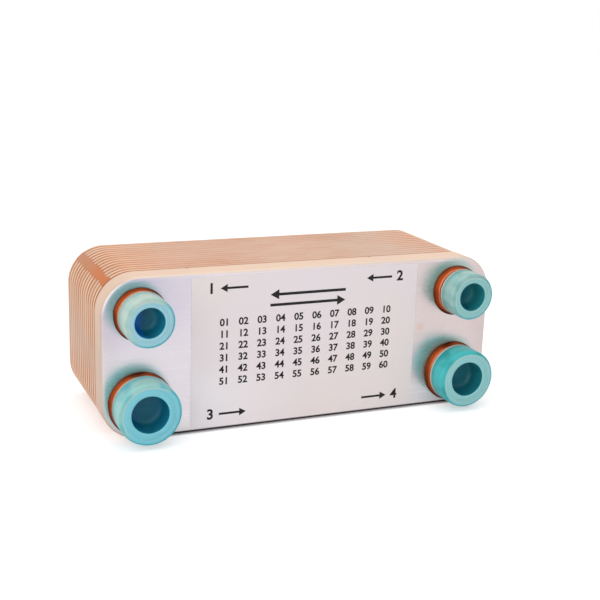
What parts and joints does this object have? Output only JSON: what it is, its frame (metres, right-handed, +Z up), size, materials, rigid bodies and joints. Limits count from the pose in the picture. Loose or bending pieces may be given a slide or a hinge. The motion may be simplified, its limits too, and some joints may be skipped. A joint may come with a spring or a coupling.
{
  "type": "plate wort chiller",
  "caption": "Brazed plate wort chiller: a ribbed stack of rounded steel plates with threaded front ports set in copper fillets, each port under a pull-off plastic cap.",
  "frame": {"origin": "centre of the footprint of the whole part, caps included, at the lower long edge that it stands on", "axes": "+X along the length, from the left ports to the right ports; +Y from the capped ports to the back; +Z up, from the water ports to the wort ports"},
  "size_m": [0.206, 0.0898, 0.079],
  "materials": {
    "cover_steel": "satin stainless sheet with a soft blurred sheen",
    "plate_steel": "stainless edges washed with copper braze",
    "inner_steel": "plain stainless plate",
    "fitting_steel": "turned stainless",
    "braze_copper": "melted copper, darker at its foot",
    "cap_plastic": "soft translucent teal polyethylene",
    "label_paper": "matte pale film"
  },
  "bodies": {
    "chiller": {"front_cover": "cover_steel", "front_reinforcing_plate": "inner_steel", "channel_plate_01": "plate_steel", "channel_plate_02": "plate_steel", "channel_plate_03": "plate_steel", "channel_plate_04": "plate_steel", "channel_plate_05": "plate_steel", "channel_plate_06": "plate_steel", "channel_plate_07": "plate_steel", "channel_plate_08": "plate_steel", "channel_plate_09": "plate_steel", "channel_plate_10": "plate_steel", "channel_plate_11": "plate_steel", "channel_plate_12": "plate_steel", "channel_plate_13": "plate_steel", "channel_plate_14": "plate_steel", "back_reinforcing_plate": "inner_steel", "back_cover": "cover_steel", "wort_out_fitting": "fitting_steel", "wort_in_fitting": "fitting_steel", "water_in_fitting": "fitting_steel", "water_out_fitting": "fitting_steel", "wort_out_braze_fillet": "braze_copper", "wort_in_braze_fillet": "braze_copper", "water_in_braze_fillet": "braze_copper", "water_out_braze_fillet": "braze_copper", "label": "label_paper"},
    "wort_out_cap": {"wort_out_cap": "cap_plastic"},
    "wort_in_cap": {"wort_in_cap": "cap_plastic"},
    "water_in_cap": {"water_in_cap": "cap_plastic"},
    "water_out_cap": {"water_out_cap": "cap_plastic"}
  },
  "joints": [
    {"name": "wort_out_cap_pull", "type": "slide", "parent": "chiller", "child": "wort_out_cap", "axis": [0, -1, 0], "range_m": [0, 0.03]},
    {"name": "wort_in_cap_pull", "type": "slide", "parent": "chiller", "child": "wort_in_cap", "axis": [0, -1, 0], "range_m": [0, 0.03]},
    {"name": "water_in_cap_pull", "type": "slide", "parent": "chiller", "child": "water_in_cap", "axis": [0, -1, 0], "range_m": [0, 0.03]},
    {"name": "water_out_cap_pull", "type": "slide", "parent": "chiller", "child": "water_out_cap", "axis": [0, -1, 0], "range_m": [0, 0.03]}
  ]
}
